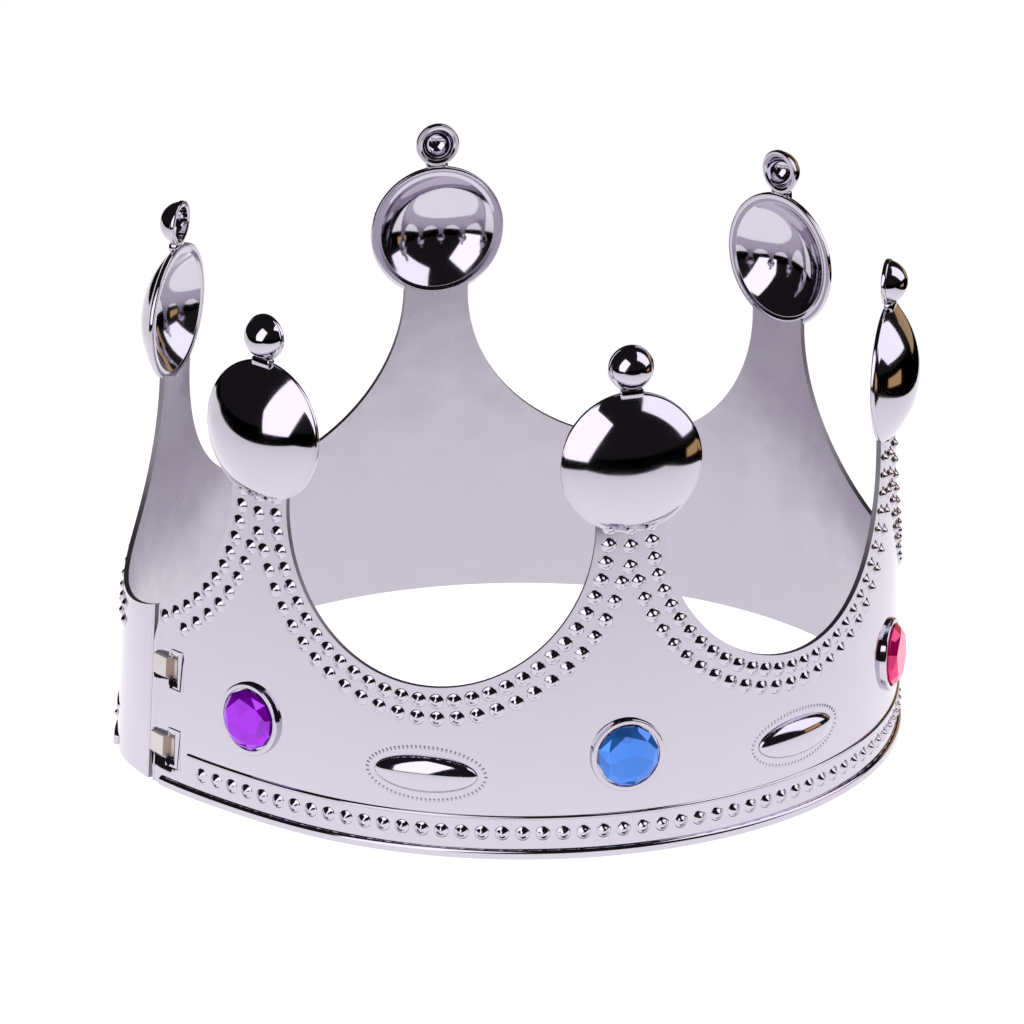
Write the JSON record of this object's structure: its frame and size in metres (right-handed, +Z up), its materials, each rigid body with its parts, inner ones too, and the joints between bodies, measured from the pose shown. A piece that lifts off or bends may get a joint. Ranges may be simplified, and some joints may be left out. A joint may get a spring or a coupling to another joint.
{
  "type": "crown",
  "caption": "Silver plastic dressing-up crown: a band with domed points and coloured stones, closed into a ring by a snap fastening",
  "frame": {"origin": "The middle of the footprint's bounding box, on the surface that the crown stands on.", "axes": "+Z is up, through the ring. The closure is at -X, and the three front points face -Y."},
  "size_m": [0.1962, 0.1914, 0.1247],
  "materials": {
    "silver_plating": "polished",
    "stone_violet": "polished",
    "stone_blue": "polished",
    "stone_pink": "polished",
    "foil": "gloss",
    "adhesive": "gloss"
  },
  "bodies": {
    "band": {"crown_band": "silver_plating", "stone_front_left": "stone_violet", "foil_back_front_left": "foil", "adhesive_front_left": "adhesive", "stone_front_centre": "stone_blue", "foil_back_front_centre": "foil", "adhesive_front_centre": "adhesive", "stone_front_right": "stone_pink", "foil_back_front_right": "foil", "adhesive_front_right": "adhesive", "stone_rear_right": "stone_violet", "foil_back_rear_right": "foil", "adhesive_rear_right": "adhesive", "stone_rear_centre": "stone_blue", "foil_back_rear_centre": "foil", "adhesive_rear_centre": "adhesive", "stone_rear_left": "stone_pink", "foil_back_rear_left": "foil", "adhesive_rear_left": "adhesive"},
    "upper_tongue": {"upper_tongue": "silver_plating"},
    "lower_tongue": {"lower_tongue": "silver_plating"}
  },
  "joints": [
    {"name": "upper_tongue_flex", "type": "hinge", "parent": "band", "child": "upper_tongue", "pos_m": [-0.09398, -0.00243, 0.0302], "axis": [0, 0, 1], "range_deg": [0, 10], "stiffness_Nm_per_rad": 0.05},
    {"name": "lower_tongue_flex", "type": "hinge", "parent": "band", "child": "lower_tongue", "pos_m": [-0.09506, -0.00245, 0.0103], "axis": [0, 0, 1], "range_deg": [0, 10], "stiffness_Nm_per_rad": 0.05}
  ]
}
